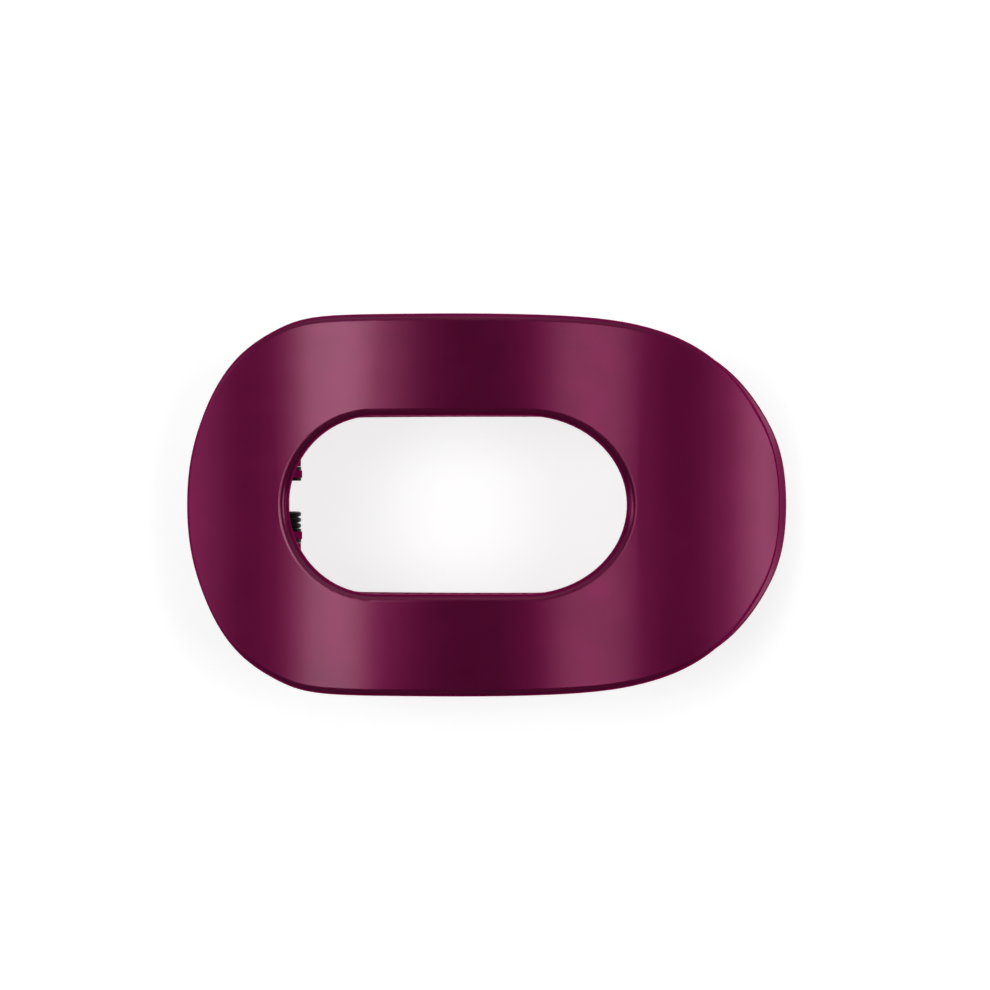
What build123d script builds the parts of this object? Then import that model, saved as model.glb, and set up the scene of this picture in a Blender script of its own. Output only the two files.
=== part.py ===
from build123d import *
import os
from math import acos, asin, atan2, cos, degrees, isclose, pi, radians, sin, sqrt

os.makedirs("parts", exist_ok=True)

# A flat hair clip: two nested oval rings, arched to lie along the head, hinged near one end of
# their window and sprung shut. Lengths are in millimetres. While a piece is made, the shell's
# arch axis is the Y axis and X runs from the thumb end to the tips.

# Driving dimensions of the arched shell
arch_radius = 75.0
shell_thickness = 3.0
thumb_reach = 46.7
tip_reach = 53.7
half_width = 30.85
top_edge_round = 1.2
under_edge_round = 0.4

# The window through the shell, its ends half ellipses
window_thumb_reach = 28.67
window_tip_reach = 26.6
window_half_width = 14.4
window_thumb_bend = 14.2
window_tip_bend = 16.5
window_edge_round = 1.15

# The lower jaw
jaw_thickness = 2.6
jaw_thumb_reach = 44.0
jaw_tip_lip = 1.3
jaw_inset = 1.6
jaw_window_thumb_reach = 30.7
jaw_window_tip_reach = 28.3
jaw_edge_round = 0.5
tip_gap = 0.2
foot_cut = 0.35
tail_bend_radius = 20.0
tail_slope = 52.0

# The hinge across the clip, below the thumb end of the window
hinge_reach = 29.7
hinge_depth = 6.2
jaw_depth_under_hinge = 3.1
pin_radius = 0.8
pin_fit = 0.06
pin_grip = 0.015
pin_head_radius = 1.5
pin_head_thickness = 0.6
peened_radius = 1.2
ear_radius = 2.9
ear_thickness = 1.2
ear_offset = 4.45
ear_root = 7.0
ear_sink = 1.0
jaw_ear_radius = 2.7
jaw_ear_thickness = 1.4
washer_radius = 2.75
washer_thickness = 0.5
washer_bore_play = 0.1
side_play = 0.1

# The torsion spring
wire_diameter = 0.8
coil_radius = 2.35
turn_pitch = 1.15
full_turns = 2
coil_play = 0.3
tail_leg_past_touch_length = 2.81
leg_rest_gap = 0.05

# The interlocking teeth along both long sides of the window
tooth_pitch = 1.9
tooth_root_width = 1.5
tooth_tip_width = 0.8
tooth_depth = 1.6
tooth_sink = 0.8
tooth_end_gap = 0.35
teeth_start_distance = 15.8
teeth_per_side = 15

# One overrun serves every cut
overrun = 2.0

# How a round or square block lies on the point that it is placed at
stand_up = (Align.CENTER, Align.CENTER, Align.MIN)
hang_down = (Align.CENTER, Align.CENTER, Align.MAX)

# The outline's points, as shares of its reach and of its half width
thumb_outline_shares = [(1, 0), (0.947, 0.448), (0.796, 0.803), (0.669, 0.925), (0.307, 1)]
tip_outline_shares = [(0.257, 0.995), (0.464, 0.972), (0.743, 0.821), (0.922, 0.506), (1, 0)]


def polar(radius, angle):
    """A point at an angle from the vertical, positive towards the tips."""
    return Vector(radius * sin(radians(angle)), 0, radius * cos(radians(angle)))


def angle_at(reach, radius):
    return degrees(asin(reach / radius))


# The hinge axis, and the jaw's arch: a circle about an axis level with the shell's own, through
# a point under the hinge and a point just inside the shell's tip
hinge_angle = angle_at(hinge_reach, arch_radius - hinge_depth)
hinge = polar(arch_radius - hinge_depth, -hinge_angle)
under_hinge = polar(arch_radius - hinge_depth - jaw_depth_under_hinge, -hinge_angle)
under_tip = polar(arch_radius - shell_thickness - tip_gap, angle_at(tip_reach, arch_radius))
jaw_axis_x = (under_hinge.length**2 - under_tip.length**2) / (2 * (under_hinge.X - under_tip.X))
jaw_axis = Vector(jaw_axis_x, 0, 0)
jaw_radius = (under_tip - jaw_axis).length
jaw_tip_reach = tip_reach + jaw_tip_lip
tip_angle = angle_at(jaw_tip_reach - jaw_axis_x, jaw_radius)
bend_angle = -angle_at(jaw_window_thumb_reach + jaw_axis_x, jaw_radius)
bend_axis = jaw_axis + polar(jaw_radius - tail_bend_radius, bend_angle)
jaw_ear_offset = ear_offset + ear_thickness + washer_thickness + 2 * side_play
floor_height = (jaw_radius - jaw_thickness) * cos(radians(tip_angle)) + foot_cut


def spread(reach, radius):
    """Where a ray through a reach along the arch meets the plane that touches its top."""
    return radius * reach / sqrt(radius**2 - reach**2)


def outline_face(thumb, tip, width, radius):
    """A ring's outer outline on the plane that touches the top of its arch."""
    thumb_points = [Vector(-spread(x * thumb, radius), y * width) for x, y in thumb_outline_shares]
    tip_points = [Vector(spread(x * tip, radius), y * width) for x, y in tip_outline_shares]
    up = Vector(0, 1)
    along = Vector(1, 0)
    quarters = [
        Spline(*thumb_points, tangents=[up, along]),
        Spline(thumb_points[-1], *tip_points, tangents=[along, -up]),
    ]
    mirrored = [mirror(quarter, about=Plane.XZ).edge() for quarter in quarters]
    return make_face(Wire(quarters + mirrored))


def window_block(thumb, tip, width):
    """What a ring's window removes: upright walls, straight along the sides, half ellipses at the ends."""
    thumb_centre = window_thumb_bend - thumb
    tip_centre = tip - window_tip_bend
    thumb_end = EllipticalCenterArc((thumb_centre, 0), window_thumb_bend, width, 90, arc_size=180)
    tip_end = EllipticalCenterArc((tip_centre, 0), window_tip_bend, width, -90, arc_size=180)
    sides = [Line((thumb_centre, y), (tip_centre, y)) for y in (width, -width)]
    face = make_face(Wire([*thumb_end.edges(), *tip_end.edges(), *sides]))
    return extrude(face, amount=arch_radius + overrun)


def ray_block(face, radius, low, high):
    """A block whose walls follow the rays out of the arch axis, so they stand square to the arch."""
    sections = [Pos(0, 0, z) * scale(face, by=(z / radius, 1, 1)) for z in (low, high)]
    return loft(sections, ruled=True)


def arc(centre, radius, first, last):
    """An arc in the side view between two angles from the vertical."""
    ends = [centre + polar(radius, angle) for angle in (first, (first + last) / 2, last)]
    return ThreePointArc(*ends)


def side_plate(face, start, thickness):
    """A side-view face given its thickness along Y from a starting distance."""
    return Pos(0, start, 0) * extrude(face, amount=thickness, dir=(0, 1, 0))


def both_sides(piece):
    return piece + mirror(piece, about=Plane.XZ)


def rise_to(point, direction, centre, radius):
    """How far a point moves along a direction to reach the upper side of a circle."""
    along = direction.dot(point - centre)
    return sqrt(along**2 - (point - centre).length ** 2 + radius**2) - along


def tooth(index, points_down):
    """One tooth, pointing the way that the jaws part at its place."""
    x = hinge.X + teeth_start_distance + index * tooth_pitch
    under = sqrt((arch_radius - shell_thickness) ** 2 - x**2)
    over = sqrt(jaw_radius**2 - (x - jaw_axis_x) ** 2)
    place = Vector(x, 0, (under + over) / 2)
    arm = (place - hinge).normalized()
    opening = Vector(-arm.Z, 0, arm.X)
    to_shell = rise_to(place, opening, Vector(0, 0, 0), arch_radius - shell_thickness)
    to_jaw = rise_to(place, opening, jaw_axis, jaw_radius)
    root, tip, way = (to_shell, to_jaw + tooth_end_gap, 1)
    if not points_down:
        root, tip, way = (to_jaw, to_shell - tooth_end_gap, -1)
    crown = place + opening * tip
    shoulder = crown + opening * (way * tooth_tip_width / 2)
    neck = place + opening * root
    foot = neck + opening * (way * tooth_sink)
    half_root = arm * (tooth_root_width / 2)
    half_tip = arm * (tooth_tip_width / 2)
    edges = [
        ThreePointArc(shoulder - half_tip, crown, shoulder + half_tip),
        Polyline(shoulder + half_tip, neck + half_root, foot + half_root),
        Line(foot + half_root, foot - half_root),
        Polyline(foot - half_root, neck - half_root, shoulder - half_tip),
    ]
    profile = make_face(Wire([edge for line in edges for edge in line.edges()]))
    return side_plate(profile, window_half_width, tooth_depth)


def tooth_row(first, points_down):
    teeth = [tooth(index, points_down) for index in range(first, teeth_per_side, 2)]
    return both_sides(Part() + teeth)


def touch_point(point, radius, side):
    """Where a line from a point touches a circle about the hinge, in the side view."""
    away = point - hinge
    angle = atan2(away.Z, away.X) + side * acos(radius / away.length)
    return hinge + Vector(cos(angle), 0, sin(angle)) * radius


def ear_pair(radius, root, start, thickness):
    """Two hinge ears: round ends about the pin, drawn out to a root of two points."""
    first, last = root
    corners = [first, last, touch_point(last, radius, 1), touch_point(first, radius, -1)]
    web = Polyline(*corners, close=True)
    eye = Plane(origin=hinge, z_dir=(0, 1, 0)) * Circle(radius)
    ears = side_plate(make_face(web), start, thickness) + side_plate(eye, start, thickness)
    return both_sides(ears)


def pin_hole(radius):
    return Pos(*hinge) * Rot(90, 0, 0) * Cylinder(radius, 2 * half_width)


def curved_face(ring, radius):
    """The largest face of a ring that lies on a cylinder of one radius."""
    faces = ring.faces().filter_by(GeomType.CYLINDER)
    alike = faces.filter_by(lambda face: isclose(face.radius, radius, rel_tol=1e-6))
    return alike.sort_by(SortBy.AREA)[-1]


def arched_ring(outline, window, radius, thickness, low):
    """A ring cut from an arch, its outer walls square to the arch."""
    length = 2 * (half_width + overrun)
    high = radius + overrun
    arch = Rot(90, 0, 0) * (Cylinder(radius, length) - Cylinder(radius - thickness, length))
    ring = arch & ray_block(outline, radius, low, high)
    return (ring - window).solid()


def make_top_shell():
    """The arched upper ring. Its thumb end is the pad that is pressed to open the clip."""
    under_radius = arch_radius - shell_thickness
    low = under_radius * cos(radians(angle_at(tip_reach, arch_radius))) - overrun
    outline = outline_face(thumb_reach, tip_reach, half_width, arch_radius)
    window = window_block(window_thumb_reach, window_tip_reach, window_half_width)
    ring = arched_ring(outline, window, arch_radius, shell_thickness, low)
    ring = ring.fillet(top_edge_round, curved_face(ring, arch_radius).outer_wire().edges())
    ring = ring.fillet(window_edge_round, curved_face(ring, arch_radius).inner_wires()[0].edges())
    ring = ring.fillet(under_edge_round, curved_face(ring, under_radius).outer_wire().edges())
    sunk = under_radius + ear_sink
    root_reaches = (window_thumb_reach + ear_sink / 2, window_thumb_reach + ear_root)
    root = [polar(sunk, -angle_at(reach, sunk)) for reach in root_reaches]
    ears = ear_pair(ear_radius, root, ear_offset, ear_thickness)
    shell = ring + ears + tooth_row(0, True)
    return shell - pin_hole(pin_radius + pin_fit)


def make_lower_jaw():
    """The ring beneath the shell. Past the hinge it bends down into the tail that a finger presses."""
    under_radius = jaw_radius - jaw_thickness
    down = Vector(-cos(radians(tail_slope)), 0, -sin(radians(tail_slope)))
    drop = down * (2 * hinge_depth + tail_bend_radius)
    past_tip = tip_angle + degrees(overrun / jaw_radius)
    surfaces = []
    for depth in (0, jaw_thickness):
        arch = arc(jaw_axis, jaw_radius - depth, past_tip, bend_angle)
        bend = arc(bend_axis, tail_bend_radius - depth, bend_angle, -tail_slope)
        surfaces.append([arch, bend, Line(bend @ 1, (bend @ 1) + drop)])
    top, under = surfaces
    ends = [Line(top[0] @ 0, under[0] @ 0), Line(top[-1] @ 1, under[-1] @ 1)]
    profile = make_face(Wire([*top, *under, *ends]))
    plate = side_plate(profile, -half_width - overrun, 2 * (half_width + overrun))
    low = floor_height / 2
    high = jaw_radius + overrun
    outline = outline_face(jaw_thumb_reach + jaw_axis_x, jaw_tip_reach - jaw_axis_x,
                           half_width - jaw_inset, jaw_radius)
    window = window_block(jaw_window_thumb_reach, jaw_window_tip_reach, window_half_width)
    ring = plate & (Pos(jaw_axis_x, 0, 0) * ray_block(outline, jaw_radius, low, high))
    ring = (ring - window).solid()
    skins = ring.faces().filter_by(GeomType.CYLINDER)
    skins += ring.faces().filter_by(GeomType.PLANE).filter_by(Plane.XZ, reverse=True)
    walls = ring.faces().filter_by(lambda face: face not in skins)
    ring = ring.fillet(jaw_edge_round, walls.edges() & skins.edges())
    below = Box(4 * jaw_radius, 4 * jaw_radius, 2 * overrun + tail_bend_radius, align=hang_down)
    ring = ring - Pos(jaw_axis_x, 0, floor_height) * below
    near_reach = jaw_window_thumb_reach + ear_sink / 2
    sunk = jaw_radius - ear_sink
    root_angles = [angle_at(reach + jaw_axis_x, sunk) for reach in (near_reach + ear_root, near_reach)]
    root = [jaw_axis + polar(sunk, -angle) for angle in root_angles]
    ears = ear_pair(jaw_ear_radius, root, jaw_ear_offset, jaw_ear_thickness)
    jaw = ring + ears + tooth_row(1, False)
    return jaw - pin_hole(pin_radius + pin_grip)


def make_hinge_pin():
    """A steel rivet: a shank with a flat head at one end and a rounded, peened one at the other."""
    reach = jaw_ear_offset + jaw_ear_thickness + side_play / 2
    shank = Cylinder(pin_radius, 2 * reach)
    head = Pos(0, 0, reach) * Cylinder(pin_head_radius, pin_head_thickness, align=stand_up)
    head = chamfer(head.edges().sort_by(Axis.Z)[-1], pin_head_thickness / 3)
    peened = Pos(0, 0, -reach) * Cylinder(peened_radius, pin_head_thickness, align=hang_down)
    peened = fillet(peened.edges().sort_by(Axis.Z)[0], pin_head_thickness / 2)
    return Pos(*hinge) * Rot(90, 0, 0) * (shank + head + peened)


def make_hinge_washers():
    """Four thin steel washers, one on each face of the shell's two ears."""
    disc = Cylinder(washer_radius, washer_thickness)
    washer = disc - Cylinder(pin_radius + washer_bore_play, washer_thickness)
    inner = ear_offset - side_play - washer_thickness / 2
    outer = ear_offset + ear_thickness + side_play + washer_thickness / 2
    places = [side * distance for side in (-1, 1) for distance in (inner, outer)]
    return Compound([Pos(hinge.X, y, hinge.Z) * Rot(90, 0, 0) * washer.solid() for y in places])


def coil_point(turned, first_angle, first_y):
    """A point on the coil's centre line, and its direction, after turning from the first leg."""
    angle = radians(first_angle - turned)
    y = first_y + turn_pitch * turned / 360
    place = hinge + Vector(coil_radius * cos(angle), y, coil_radius * sin(angle))
    way = Vector(coil_radius * sin(angle), turn_pitch / (2 * pi), -coil_radius * cos(angle))
    return place, way.normalized()


def biarc(start, start_way, end, end_way):
    """Two arcs that leave one point and reach another in given directions."""
    span = end - start
    ways = start_way + end_way
    turn = 2 * (1 - start_way.dot(end_way))
    reach = (sqrt(span.dot(ways) ** 2 + turn * span.dot(span)) - span.dot(ways)) / turn
    middle = (start + start_way * reach + end - end_way * reach) / 2
    first = TangentArc(start, middle, tangent=start_way)
    return [first, TangentArc(middle, end, tangent=first % 1)]


def make_torsion_spring():
    """A coil round the pin with two straight legs that push the thumb pad and the tail apart."""
    first_y = -(ear_offset - side_play - washer_thickness - coil_play - wire_diameter / 2)
    contact = wire_diameter / 2 + leg_rest_gap
    shell_leg = sqrt((arch_radius - shell_thickness - contact) ** 2
                     - (arch_radius - hinge_depth + coil_radius) ** 2)
    to_bend = bend_axis - hinge
    crossing = coil_radius + tail_bend_radius + contact
    lean = degrees(asin(crossing / to_bend.length))
    tail_leg = sqrt(to_bend.length**2 - crossing**2) + tail_leg_past_touch_length
    tail_leg_slope = 90 + degrees(atan2(to_bend.X, -to_bend.Z)) - lean
    first_angle = 90 + hinge_angle
    turned = 180 + hinge_angle - tail_leg_slope + 360 * full_turns
    steps = round(turned / 90)
    stations = [coil_point(turned * step / steps, first_angle, first_y) for step in range(steps + 1)]
    edges = []
    for (start, start_way), (end, end_way) in zip(stations, stations[1:]):
        edges += biarc(start, start_way, end, end_way)
    first_place, first_way = stations[0]
    last_place, last_way = stations[-1]
    tips = [first_place - first_way * shell_leg, last_place + last_way * tail_leg]
    path = Wire([Line(tips[0], first_place), *edges, Line(last_place, tips[1])])
    print(f"spring: {turned / 360:.2f} turns, legs {shell_leg:.2f} and {tail_leg:.2f} mm")
    print(f"spring: least gap between turns {least_gap(path):.3f} mm")
    section = Plane(origin=tips[0], z_dir=first_way) * Circle(wire_diameter / 2)
    return sweep(section, path=path)


def least_gap(path):
    """The smallest gap between two stretches of wire that are at least half a turn apart."""
    count = 40 * (full_turns + 2)
    points = [path @ (step / count) for step in range(count + 1)]
    apart = int(count * pi * coil_radius / path.length)
    pairs = [(i, j) for i in range(count + 1) for j in range(i + apart, count + 1)]
    return min((points[i] - points[j]).length for i, j in pairs) - wire_diameter


pieces = {
    "top_shell": make_top_shell(),
    "lower_jaw": make_lower_jaw(),
    "hinge_pin": make_hinge_pin(),
    "hinge_washers": make_hinge_washers(),
    "torsion_spring": make_torsion_spring(),
}

# The finished clip stands on its lower jaw, with the origin at the middle of its footprint
box = Compound(list(pieces.values())).bounding_box()
home = Pos(-box.center().X, 0, -floor_height)
for name, piece in pieces.items():
    export_step(home * piece, f"parts/{name}.step")
    print(name, piece.is_valid, len(piece.solids()), f"{piece.volume:.2f}")
print("hinge axis:", tuple(hinge + home.position))
print("overall box:", (home * Compound(list(pieces.values()))).bounding_box())
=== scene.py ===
import bmesh
import bpy
import math
import mathutils
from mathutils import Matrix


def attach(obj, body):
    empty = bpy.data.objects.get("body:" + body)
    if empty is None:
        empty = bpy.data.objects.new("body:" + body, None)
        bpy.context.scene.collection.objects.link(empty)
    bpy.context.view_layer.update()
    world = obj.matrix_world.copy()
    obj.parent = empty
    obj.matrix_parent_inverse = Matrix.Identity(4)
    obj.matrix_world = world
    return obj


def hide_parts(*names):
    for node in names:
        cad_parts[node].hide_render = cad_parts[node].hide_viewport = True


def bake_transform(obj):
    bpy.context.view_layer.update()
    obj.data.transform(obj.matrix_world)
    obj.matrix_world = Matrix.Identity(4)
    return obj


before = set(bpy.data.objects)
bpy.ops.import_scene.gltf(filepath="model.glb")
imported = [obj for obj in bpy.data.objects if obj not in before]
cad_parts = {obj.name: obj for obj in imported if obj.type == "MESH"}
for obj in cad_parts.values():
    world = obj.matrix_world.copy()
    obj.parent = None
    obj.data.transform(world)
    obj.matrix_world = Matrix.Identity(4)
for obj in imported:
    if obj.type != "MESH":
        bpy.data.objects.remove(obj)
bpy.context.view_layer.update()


# Lower jaw: the arched ring under the shell, with the hinge ears and the tail that a finger
# presses. Injection moulded in glossy burgundy plastic; it carries the pin, and everything
# else is put together on it.
class Signal:
    """One output of a shader node. + - and * on signals add the nodes that work them out."""

    def __init__(self, socket):
        self.socket = socket

    def node(self, kind, settings=None, sockets=None, out=0):
        """Adds any node: first its settings, then the values or links of its sockets."""
        tree = self.socket.id_data
        made = tree.nodes.new("ShaderNode" + kind)
        for name, value in (settings or {}).items():
            setattr(made, name, value)
        for name, value in (sockets or {}).items():
            if isinstance(value, Signal):
                tree.links.new(value.socket, made.inputs[name])
            else:
                made.inputs[name].default_value = value
        return Signal(made.outputs[out])

    def worked_out(self, operation, first, second):
        """A Math node on two values, or a Vector Math node where one of them is a vector."""
        signals = [value for value in (first, second) if isinstance(value, Signal)]
        vectors = [signal for signal in signals if signal.socket.type == "VECTOR"]
        kind = "VectorMath" if vectors else "Math"
        return self.node(kind, {"operation": operation}, {0: first, 1: second})

    def __add__(self, other):
        return self.worked_out("ADD", self, other)

    def __radd__(self, other):
        return self.worked_out("ADD", other, self)

    def __sub__(self, other):
        return self.worked_out("SUBTRACT", self, other)

    def __rsub__(self, other):
        return self.worked_out("SUBTRACT", other, self)

    def __mul__(self, other):
        return self.worked_out("MULTIPLY", self, other)

    def __rmul__(self, other):
        return self.worked_out("MULTIPLY", other, self)

    def noise(self, size, detail=2.0, roughness=0.5, stretch=(1, 1, 1)):
        """Soft noise from 0 to 1 on a place on the part, its features of one size in metres."""
        place = self.node("Mapping", {"vector_type": "POINT"}, {"Vector": self, "Scale": stretch})
        return self.node("TexNoise", sockets={"Vector": place, "Scale": 1 / size, "Detail": detail,
                                              "Roughness": roughness})

    def between(self, low, high, first=0.0, second=1.0):
        """first where the signal is low, second where it is high, and a smooth change between."""
        return self.node("MapRange", {"interpolation_type": "SMOOTHSTEP"},
                         {"Value": self, "From Min": low, "From Max": high,
                          "To Min": first, "To Max": second})

    def tint(self, first, second):
        """A colour from first to second as the signal goes from 0 to 1."""
        return self.node("Mix", {"data_type": "RGBA"}, {0: self, 6: first, 7: second}, out=2)

    def along(self, way):
        """How far a direction points along another: 1 with it, 0 square to it, -1 against it."""
        way = self.node("VectorMath", {"operation": "NORMALIZE"}, {0: way})
        return self.node("VectorMath", {"operation": "DOT_PRODUCT"}, {0: self, 1: way}, out=1)


def new_finish(name):
    """A material, its shader, and the place on the part in metres as a signal."""
    material = bpy.data.materials.new(name)
    material.use_nodes = True
    nodes = material.node_tree.nodes
    shader = nodes["Principled BSDF"]
    place = Signal(nodes.new("ShaderNodeTexCoord").outputs["Object"])
    return material, shader, place


def set_finish(shader, **values):
    """Sets or links the shader's sockets; a name's _ stands for a space."""
    for name, value in values.items():
        socket = shader.inputs[name.replace("_", " ")]
        if isinstance(value, Signal):
            shader.id_data.links.new(value.socket, socket)
        else:
            socket.default_value = value


def burgundy_plastic(name, arch_axis, depth):
    """Moulded burgundy plastic: polished and a little pearly on the arch's outer face and most of
    all on its rounded edges, duller on walls and on the inner face, with a faint flow of the
    colour. Its clear coat is also made stronger over the hinge and most of all at the tip, which
    paints a paler sheen onto the highlights there. arch_axis is a point on the arch's axis, and
    depth scales the colour."""
    material, shader, place = new_finish(name)
    flow = place.noise(0.02, 3.0, 0.5, (1, 2.2, 1))
    cloud = place.noise(0.0035, 2.0, 0.55)
    mottle = (flow * 0.7 + cloud * 0.3).between(0.3, 0.7)
    colour = mottle.tint([part * depth for part in (0.135, 0.0053, 0.0469)] + [1],
                         [part * depth for part in (0.149, 0.0064, 0.0520)] + [1])
    # How far the surface faces away from the arch's axis: 1 outside, 0 on walls, -1 inside
    normal = place.node("TexCoord", out="Normal")
    outward = normal.along((place - arch_axis) * (1, 0, 1))
    inner = outward.between(-0.2, 0.2, 1.0, 0.0)
    outer = outward.between(0.3, 0.75, 0.04, 0.25)
    edge_gloss = outward.between(0.80, 0.92) * outward.between(0.97, 0.99, 1.0, 0.0) * 0.3
    # Painted sheen: the clear coat is made stronger over the hinge and most of all at the tip,
    # which paints paler highlights there; the plastic has no such finish
    along = place.node("SeparateXYZ", sockets={0: place})
    painted_sheen_over_hinge = along.between(-0.044, -0.028) * along.between(-0.025, -0.012, 1.0, 0.0)
    polish_and_painted_sheen = painted_sheen_over_hinge * 1.05 + along.between(0.038, 0.048, 0.7, 3.7)
    graze = place.node("LayerWeight", sockets={"Blend": 0.5}, out="Facing")
    head_on = graze.between(0.0, 0.5, 1.0, 0.0)
    haze = place.noise(0.006, 3.0, 0.6).between(0.3, 0.7, 0.31, 0.35)
    inner_haze = 0.08
    set_finish(shader, Base_Color=colour, Metallic=0.55, Specular_Tint=(0.9, 0.25, 0.5, 1),
               Specular_IOR_Level=0.0, Roughness=haze + inner * inner_haze,
               # Coat Weight carries the painted sheen over the hinge and at the tip
               Coat_Weight=head_on * (outer * polish_and_painted_sheen + edge_gloss), Coat_Roughness=0.15)
    ripple = place.noise(0.012, 1.0, 0.4)
    bump = ripple.node("Bump", sockets={"Height": ripple, "Strength": 0.3, "Distance": 0.00002})
    set_finish(shader, Normal=bump)
    return material


def dress(node, material):
    """Puts a material on a CAD node in place of its plain one."""
    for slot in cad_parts[node].material_slots:
        slot.material = material


jaw_arch_axis = (0.000965, 0, -0.045135)
dress("lower_jaw", burgundy_plastic("jaw_burgundy_plastic", jaw_arch_axis, depth=0.95))


# Hinge washers: four thin steel discs stamped from black strip, one on each face of the shell's
# two ears, so that plastic never rubs on plastic. The pin holds them.
def black_steel(name, grain, roughness, stretch=(1, 1, 1)):
    """Steel blackened with oxide, a little brighter where handling has rubbed it. grain is the
    size of its scratches, and stretch draws them out along an axis."""
    material, shader, place = new_finish(name)
    scratches = place.noise(grain, 3.0, 0.6, stretch)
    patches = place.noise(grain * 6, 2.0)
    rub = (scratches * 0.6 + patches * 0.4).between(0.35, 0.75)
    oxide = (0.0015, 0.0015, 0.0018, 1)
    rubbed = (0.009, 0.0088, 0.0096, 1)
    colour = rub.tint(oxide, rubbed)
    set_finish(shader, Base_Color=colour, Metallic=0.4, Specular_IOR_Level=0.08,
               Roughness=rub.between(0, 1, roughness, roughness - 0.1))
    bump = rub.node("Bump", sockets={"Height": rub, "Strength": 0.4, "Distance": 0.00001})
    set_finish(shader, Normal=bump)
    return material


hinge = mathutils.Vector((-0.033992, 0, 0.016924))
ear_inner_face = 0.00445
ear_outer_face = 0.00565
inner_washer = 0.00050
outer_washer = 0.00064
washer_hole = 0.00090
washer_rim = 0.00275
washer_sides = 64
punched_edge = 0.00008
rolled_edge = 0.00010


def washer_ring(mesh, radius, y):
    """A ring of points round the hinge's axis."""
    angles = [2 * math.pi * step / washer_sides for step in range(washer_sides)]
    points = [mathutils.Vector((radius * math.cos(a), y, radius * math.sin(a))) for a in angles]
    return [mesh.verts.new(hinge + point) for point in points]


# Once round a washer's section: the radius, and the depth as a share of the thickness
washer_section = [(washer_hole, 0), (washer_rim - punched_edge, 0), (washer_rim, 0.1),
                  (washer_rim, 0.86), (washer_rim - rolled_edge, 1),
                  (washer_hole + punched_edge, 1), (washer_hole, 0.9)]
washer_mesh = bmesh.new()
for face, thickness in ((ear_inner_face, -inner_washer), (ear_outer_face, outer_washer),
                        (-ear_inner_face, inner_washer), (-ear_outer_face, -outer_washer)):
    rings = [washer_ring(washer_mesh, radius, face + thickness * depth)
             for radius, depth in washer_section]
    for ring, following in zip(rings, rings[1:] + rings[:1]):
        for step in range(washer_sides):
            after = (step + 1) % washer_sides
            washer_mesh.faces.new((ring[step], ring[after], following[after], following[step]))
bmesh.ops.recalc_face_normals(washer_mesh, faces=washer_mesh.faces)
washer_data = bpy.data.meshes.new("stamped_washers")
washer_mesh.to_mesh(washer_data)
washer_mesh.free()
washer_data.shade_smooth()
washer_data.set_sharp_from_angle(angle=math.radians(35))
washers = bpy.data.objects.new("stamped_washers", washer_data)
bpy.context.scene.collection.objects.link(washers)
washer_data.materials.append(black_steel("stamped_black_steel", grain=0.0003, roughness=0.45))
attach(washers, "lower_jaw")
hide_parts("hinge_washers")


# Torsion spring: 0.8 mm black music wire, wound close round the pin, between the ears. One
# straight leg lies under the thumb pad and the other on the tail, and they push the two apart.
wire_radius = 0.00040
coil_radius = 0.00235
coil_pitch = 0.00081
first_angle = 115.5746
degrees_wound = 890.254
first_y = -0.00352
flat_at_first = 100
flat_at_last = 40
coil_steps = 150
shell_leg = 0.007555
tail_leg = 0.007255
wire_sides = 20


def coil_station(turn):
    """The wire's place and direction after that many degrees of coil. The coil starts flat against
    the washer, climbs along the pin, and ends flat."""
    angle = math.radians(first_angle - turn)
    rising = degrees_wound - flat_at_first - flat_at_last
    lead = min(max(turn - flat_at_first, 0), rising) / rising
    y = first_y + coil_pitch * lead * degrees_wound / 360
    from_hinge = mathutils.Vector((coil_radius * math.cos(angle), y, coil_radius * math.sin(angle)))
    return hinge + from_hinge, mathutils.Vector((math.sin(angle), 0, -math.cos(angle)))


def round_wire(name, line, radius, sides):
    """A wire along a line of points, with its ends rounded over."""
    ways = [(b - a).normalized() for a, b in zip(line, line[1:])]
    ways = [ways[0]] + [(a + b).normalized() for a, b in zip(ways, ways[1:])] + [ways[-1]]
    stations = [(place, way, 1.0) for place, way in zip(line, ways)]
    # Round an end: how far out it is and how wide, as shares of the radius
    round_over = [(0.0, 1.0), (0.38, 0.92), (0.71, 0.71), (0.92, 0.38), (1.0, 0.08)]
    head = [(line[0] + ways[0] * radius * (1 - out), ways[0], share)
            for out, share in round_over[::-1]]
    tail = [(line[-1] - ways[-1] * radius * (1 - out), ways[-1], share)
            for out, share in round_over]
    stations = head + stations[1:-1] + tail
    side = ways[0].orthogonal().normalized()
    mesh = bmesh.new()
    rings = []
    angles = [2 * math.pi * step / sides for step in range(sides)]
    for place, way, share in stations:
        side = (side - way * side.dot(way)).normalized()
        other = way.cross(side)
        spokes = [side * math.cos(a) + other * math.sin(a) for a in angles]
        rings.append([mesh.verts.new(place + spoke * radius * share) for spoke in spokes])
    for ring, following in zip(rings, rings[1:]):
        for step in range(sides):
            after = (step + 1) % sides
            mesh.faces.new((ring[step], ring[after], following[after], following[step]))
    mesh.faces.new(rings[0][::-1])
    mesh.faces.new(rings[-1])
    data = bpy.data.meshes.new(name)
    mesh.to_mesh(data)
    mesh.free()
    data.shade_smooth()
    wire = bpy.data.objects.new(name, data)
    bpy.context.scene.collection.objects.link(wire)
    return wire


first_place, first_way = coil_station(0)
last_place, last_way = coil_station(degrees_wound)
turns = [coil_station(degrees_wound * step / coil_steps)[0] for step in range(coil_steps + 1)]
legs = [[first_place - first_way * shell_leg * share for share in (1, 0.75, 0.5, 0.25)],
        [last_place + last_way * tail_leg * share for share in (0.25, 0.5, 0.75, 1)]]
spring = round_wire("spring_wire", legs[0] + turns + legs[1], wire_radius, wire_sides)
spring.data.materials.append(black_steel("black_spring_wire", grain=0.0002, roughness=0.42))
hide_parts("torsion_spring")
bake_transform(spring)


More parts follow.
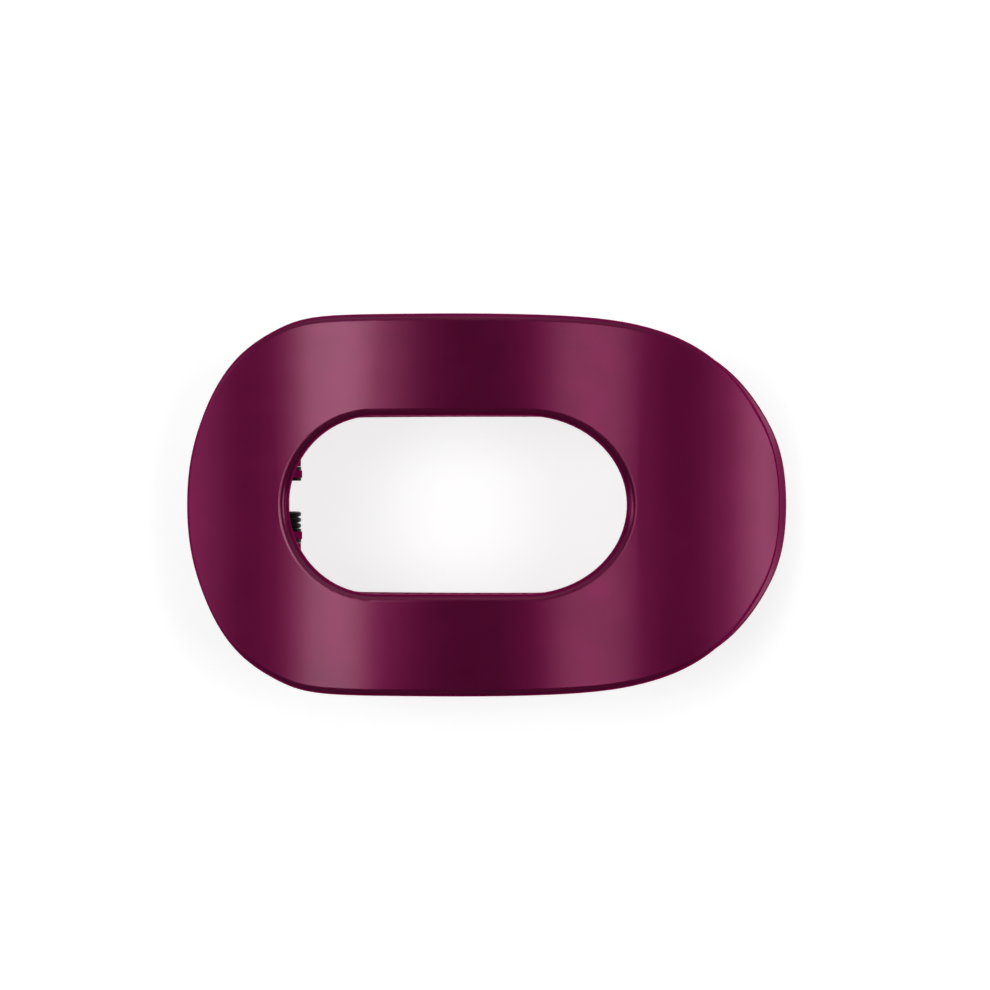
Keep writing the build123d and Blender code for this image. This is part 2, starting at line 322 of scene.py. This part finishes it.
# Top shell: the arched upper ring that shows. Moulded in the same plastic and polished outside,
# with two ears for the pin and teeth under both long sides of its window.
shell_arch_axis = (-0.004292, 0, -0.045135)
dress("top_shell", burgundy_plastic("shell_burgundy_plastic", shell_arch_axis, depth=1.0))


# Hinge pin: a blackened steel rivet pushed through all four ears, headed at one end and peened
# over at the other.
dress("hinge_pin", black_steel("headed_black_steel", grain=0.0004, roughness=0.38,
                               stretch=(1, 3, 1)))


# Floor, surroundings and camera: a small white table under long soft boxes in a mostly dark
# room, seen from straight above. The low boxes reach below the horizon, past the small table.
table_reach = 0.13
table_grey = 0.6
table_glow = 0.7
floor_mesh = bpy.data.meshes.new("table")
corners = [(x * table_reach, y * table_reach, 0) for x, y in ((-1, -1), (1, -1), (1, 1), (-1, 1))]
floor_mesh.from_pydata(corners, [], [(0, 1, 2, 3)])
floor = bpy.data.objects.new("table", floor_mesh)
bpy.context.scene.collection.objects.link(floor)
floor_material, floor_shader, place = new_finish("white_table")
seen = (place.node("LightPath", out="Is Camera Ray")
        + place.node("LightPath", out="Is Glossy Ray")
        + place.node("LightPath", out="Is Transmission Ray"))
set_finish(floor_shader, Base_Color=(table_grey, table_grey, table_grey, 1), Roughness=0.9,
           Specular_IOR_Level=0.0, Emission_Color=(1, 1, 1, 1), Emission_Strength=seen * table_glow)
floor_mesh.materials.append(floor_material)

world = bpy.data.worlds.new("studio")
bpy.context.scene.world = world
world.use_nodes = True
sky = world.node_tree.nodes["Background"]
direction = Signal(world.node_tree.nodes.new("ShaderNodeTexCoord").outputs["Generated"])
side = direction.node("SeparateXYZ", sockets={0: direction}, out="X")
behind = direction.node("SeparateXYZ", sockets={0: direction}, out="Y")
height = direction.node("SeparateXYZ", sockets={0: direction}, out="Z")
angle = side.worked_out("ARCTAN2", side, height) * (180 / math.pi)
watched = direction.node("LightPath", out="Is Camera Ray")


def soft_box(rise, full, fade, gone, radiance):
    """A long soft box along Y: nothing up to one angle from the vertical, full from the next to
    the third, and nothing again from the last."""
    return angle.between(rise, full) * angle.between(fade, gone, 1.0, 0.0) * radiance


# Both boxes overhead are wider and brighter in their far half
left_box = soft_box(-52, -42, -31, -21, 1.85) + soft_box(-48, -40, -33, -24, 2.1)
left_far = soft_box(-56, -44, -28, -13, 1.3) + soft_box(-36, -25, -19, -8, 2.0)
right_box = soft_box(19, 29, 40, 50, 3.6)
right_far = soft_box(13, 24, 42, 52, 0.5)
low_boxes = soft_box(-170, -140, -82, -63, 2.6) + soft_box(63, 96, 140, 170, 4.5)
far_half = behind.between(-0.05, 0.05)
boxes = left_box + right_box + low_boxes + far_half * (left_far + right_far)

# The boxes end in front and behind; past them the room is dark in front and lighter behind
box_ends = behind.between(-0.3, -0.12) * behind.between(0.15, 0.35, 1.0, 0.0)
room = behind.between(-1, -0.3, 0.18, 0.03) + behind.between(0.1, 1.0, 0.0, 0.9)
glow = room + box_ends * boxes

# The camera itself sees white
glow = glow + (1 - glow) * watched
sky.inputs["Color"].default_value = (1, 1, 1, 1)
world.node_tree.links.new(glow.socket, sky.inputs["Strength"])

sensor_width = 36
view_angle = 20.04
camera = bpy.data.cameras.new("camera")
camera.sensor_width = sensor_width
camera.lens = sensor_width / 2 / math.tan(math.radians(view_angle) / 2)
camera_place = (0.00077, 0.0016, 0.47985)
holder = bpy.data.objects.new("camera", camera)
holder.location = camera_place
bpy.context.scene.collection.objects.link(holder)
bpy.context.scene.camera = holder
bpy.context.scene.view_settings.view_transform = "Standard"
